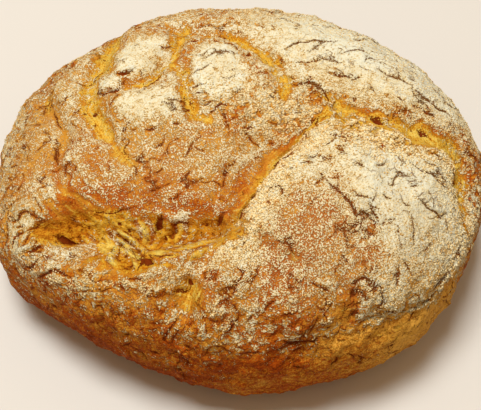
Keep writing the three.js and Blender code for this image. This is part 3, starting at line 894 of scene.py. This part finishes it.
# Flour over it, grain by grain: less mottled where it is a film, broken into flakes where it is crumbly, in
# lines where it is drawn, and rubbed off along the cracks and below each lifted layer.
mottle = node(tree, "Math", SCALE_ADD, _0=clump, _1=1.5, _2=-0.75)
uneven = node(tree, "MapRange", Value=field["filmed"], To_Min=1.0, To_Max=0.25)
speck = node(tree, "Math", SCALE_ADD, _0=grain, _1=2.5, _2=-1.25)
speck = node(tree, "Math", SCALE_ADD, _0=mottle, _1=uneven, _2=speck)
scaly = node(tree, "Math", SCALE_ADD, _0=flake, _1=2.4, _2=-1.2)
lined = node(tree, "Math", SCALE_ADD, _0=streak, _1=1.1, _2=-0.55)
brink = node(tree, "Math", SCALE_ADD, _0=ledge, _1=0.5, _2=-0.25)
rubbed = node(tree, "MapRange", SMOOTH, Value=field["crack"], From_Max=1.3, To_Min=-0.28, To_Max=0.0)
dusting = node(tree, "Math", PLUS, _0=field["flour"], _1=rubbed)
for part, name in ((speck, "dust"), (scaly, "crumbly"), (lined, "drawn"), (brink, "flaky")):
    dusting = node(tree, "Math", SCALE_ADD, _0=part, _1=field[name], _2=dusting)
film = node(tree, "Math", TIMES, _0=field["filmed"], _1=0.3)
cover = node(tree, "MapRange", SMOOTH, Value=dusting, From_Min=0.40, From_Max=0.58, To_Min=film, To_Max=0.97)
thickness = node(tree, "MapRange", Value=dusting, From_Min=0.25, From_Max=1.25)
cream = node(tree, "ValToRGB", Fac=thickness, stops=[
    (0.0, "#BA8A42"), (0.3, "#CBAE70"), (0.6, "#DBD0AA"), (1.0, "#DFDDC4")])
dusted = node(tree, "Mix", BLEND, 2, _0=cover, _6=bare_crust, _7=cream)

# Flecks of bran.
fleck = node(
    tree, "MapRange", SMOOTH, Value=fleck_away, From_Min=0.10, From_Max=0.22, To_Min=0.75, To_Max=0.0)
fleck = node(tree, "Math", TIMES, _0=fleck, _1=field["dust"])
flecked = node(tree, "Mix", BLEND, 2, _0=fleck, _6=dusted, _7=linear("#6B3C14"))

# The thick cake of flour on the flap and the back right is crazed with hairline cracks.
CRAZE = 6.5 * MM
WARP = 3.0 * MM
warp = node(tree, "TexNoise", output="Color", Vector=spot, Scale=1 / WARP, Detail=1.0)
warped = node(tree, "VectorMath", SCALE_ADD, _0=warp, _1=(WARP, WARP, WARP), _2=spot)
craze = node(tree, "TexVoronoi", {"feature": "DISTANCE_TO_EDGE"}, Vector=warped, Scale=1 / CRAZE)
hairline = node(
    tree, "MapRange", SMOOTH, Value=craze, From_Min=0.025, From_Max=0.055, To_Min=1.0, To_Max=0.0)
strain = node(tree, "TexNoise", Vector=turned, Scale=1 / CRAZE, Detail=1.0)
strain = node(tree, "MapRange", SMOOTH, Value=strain, From_Min=0.46, From_Max=0.6, To_Max=0.8)
for part in (strain, field["crazed"]):
    hairline = node(tree, "Math", TIMES, _0=hairline, _1=part)

# Cracks, with edges roughened by the grain. The coarser field keeps the sharp one to the cracks themselves.
gap = node(tree, "Math", {"operation": "ABSOLUTE"}, _0=field["rift"])
gap = node(tree, "Math", LESS, _0=gap, _1=field["gape"])
coarse = node(tree, "Math", LESS, _0=field["crack"], _1=0.7)
gap = node(tree, "Math", LARGER, _0=gap, _1=coarse)
gap = node(tree, "Math", SCALE_ADD, _0=grain, _1=1.6, _2=gap)
gap = node(tree, "MapRange", SMOOTH, Value=gap, From_Min=0.5, From_Max=1.1, To_Min=1.0, To_Max=0.0)
# The painted shadow under each lifted layer, and the hairline cracks, take the cracks' dark colour too.
for part in (painted_ledge_shadow, hairline):
    gap = node(tree, "Math", LARGER, _0=gap, _1=part)
shade = node(tree, "Mix", BLEND, 2, _0=cover, _6=linear("#702C04"), _7=linear("#724A1C"))
cracked = node(tree, "Mix", BLEND, 2, _0=gap, _6=flecked, _7=shade)
tree.links.new(cracked, shader.inputs["Base Color"])

# Grit: the grain, its clumps, the flour and the lifted layers stand up, and cracks and pores sink in.
GRIT = 0.9 * MM
grit = clump
for part, weight in ((grain, 0.44), (cover, 0.35), (lifted_and_shaded, ledge), (gap, -0.3), (pore, -0.6)):
    grit = node(tree, "Math", SCALE_ADD, _0=part, _1=weight, _2=grit)
bump = node(tree, "Bump", Distance=GRIT, Height=grit)
tree.links.new(bump, shader.inputs["Normal"])
loaf.data.materials.append(crust_material)
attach(loaf, "root")
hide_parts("loaf")


# Grains of flour, stuck all over the floury crust and thickest along the broken edges of the cake.
# They are coarse spelt flour, each a small lump partly sunk in the crust. Real ones are finer and far
# more, so each of these stands for a clump.
GRAIN_COUNT = 22000
GRAIN_SIZES = (0.28, 0.65)
GRAIN_SHAPE = (1.2, 0.9, 0.8)
STAND_OUT = 0.25
DRIFT = 0.45
grid = (crust - middle).reshape(CELLS + 1, CELLS + 1, 3)
normal = np.cross(np.gradient(grid, axis=1), np.gradient(grid, axis=0)).reshape(-1, 3)
area = np.linalg.norm(normal, axis=1)
normal /= np.maximum(area, 1e-9)[:, None]
crowding = 0.35 + crumbly + 0.8 * bell(flour - 0.6, 0.2)
chance = area * ramp(flour, 0.4, 0.8) * crowding * (crack > 0.2)
chance *= ramp(normal[:, 2], 0.05, 0.5)
chosen = draw.choice(len(chance), GRAIN_COUNT, p=chance / chance.sum())

# Each grain is an octahedron, turned at random about the way out of the crust.
outwards = normal[chosen]
one_way = np.cross(outwards, draw.normal(size=outwards.shape))
one_way /= np.linalg.norm(one_way, axis=1)[:, None]
other_way = np.cross(outwards, one_way)
size = draw.uniform(*GRAIN_SIZES, GRAIN_COUNT)[:, None] * (0.7 + 0.6 * crumbly[chosen])[:, None]
drift = one_way * draw.normal(size=size.shape) + other_way * draw.normal(size=size.shape)
grain_place = grid.reshape(-1, 3)[chosen] + DRIFT * drift + outwards * size * STAND_OUT
axes = [way * size * share for way, share in zip((one_way, other_way, outwards), GRAIN_SHAPE)]
corners = np.stack([grain_place + sign * axis for axis in axes for sign in (1, -1)], 1).reshape(-1, 3)
OCTAHEDRON = np.array([
    (0, 2, 4), (2, 1, 4), (1, 3, 4), (3, 0, 4), (2, 0, 5), (1, 2, 5), (3, 1, 5), (0, 3, 5)])
octahedra = (np.arange(GRAIN_COUNT)[:, None, None] * 6 + OCTAHEDRON).reshape(-1, 3)
grains = surface("flour_grains", corners * MM, octahedra)
paleness = draw.uniform(size=GRAIN_COUNT) * (0.3 + 0.7 * ramp(flour[chosen], 0.4, 0.8))
carry(grains, "tone", np.repeat(paleness, 6))

# Spelt flour: pale cream, dull and powdery, a little browned here and there.
flour_material, tree, shader = new_material("spelt_flour", Roughness=0.9, Specular_IOR_Level=0.08, IOR=1.45)
tone = node(tree, "Attribute", {"attribute_name": "tone"}, "Fac")
powder = node(tree, "ValToRGB", Fac=tone, stops=[(0.0, "#CC9C50"), (0.25, "#E1C384"), (1.0, "#F1E8C2")])
tree.links.new(powder, shader.inputs["Base Color"])
grains.data.materials.append(flour_material)
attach(grains, "root")


# The floor: a plain pale board with a matt face, flat under the loaf.
# It is far wider than the view, so that none of its edges shows.
FLOOR_SIZE = 6.0
floor_edges = np.linspace(-FLOOR_SIZE / 2, FLOOR_SIZE / 2, 2)
floor_x, floor_y = (a.ravel() for a in np.meshgrid(floor_edges, floor_edges))
floor = surface("floor", np.column_stack([floor_x, floor_y, np.zeros(4)]), np.array([[0, 1, 3, 2]]))
floor_material, _, _ = new_material("pale_matt_board", Base_Color=linear("#D2CEC5"), Roughness=0.9)
floor.data.materials.append(floor_material)

# Soft studio light: warm pale light from all round, stronger from above, and one large lamp high over the
# loaf, a little to the left.
world = bpy.data.worlds.new("studio")
world.use_nodes = True
sky = world.node_tree
sky_height = node(sky, "SeparateXYZ", output="Z", Vector=node(sky, "TexCoord", output="Generated"))
glow = node(sky, "MapRange", SMOOTH, Value=sky_height, From_Max=0.8, To_Min=0.05, To_Max=0.53)
sky.links.new(glow, sky.nodes["Background"].inputs["Strength"])
sky.nodes["Background"].inputs["Color"].default_value = linear("#FFDDB4")
bpy.context.scene.world = world

LAMP_PLACE = Vector((-0.34, 0.05, 2.0))
LAMP_AIM = Vector((0, 0, 0.05))
LAMP_SIZE = 0.7
LAMP_POWER = 43.3
light = bpy.data.lights.new("key_lamp", "AREA")
light.energy = LAMP_POWER
light.size = LAMP_SIZE
light.color = linear("#F9FCFF")[:3]
lamp = bpy.data.objects.new("key_lamp", light)
lamp.location = LAMP_PLACE
lamp.rotation_euler = (LAMP_AIM - LAMP_PLACE).to_track_quat("-Z", "Y").to_euler()
bpy.context.scene.collection.objects.link(lamp)

# The camera looks down at the loaf from the front, in the photograph's frame of 481 by 410.
CAMERA_RISE = math.radians(55)
CAMERA_AWAY = 600 * MM
CAMERA_AIM = Vector((1.84, -9.6, 35.3)) * MM
VIEW_WIDTH = 252 * MM
towards = Vector((0, -math.cos(CAMERA_RISE), math.sin(CAMERA_RISE)))
lens = bpy.data.cameras.new("camera")
lens.sensor_width = 36
lens.lens = lens.sensor_width * CAMERA_AWAY / VIEW_WIDTH
camera = bpy.data.objects.new("camera", lens)
camera.location = CAMERA_AIM - Vector(middle) * MM + towards * CAMERA_AWAY
camera.rotation_euler = (-towards).to_track_quat("-Z", "Y").to_euler()
bpy.context.scene.collection.objects.link(camera)
bpy.context.scene.camera = camera
bpy.context.scene.view_settings.view_transform = "Standard"
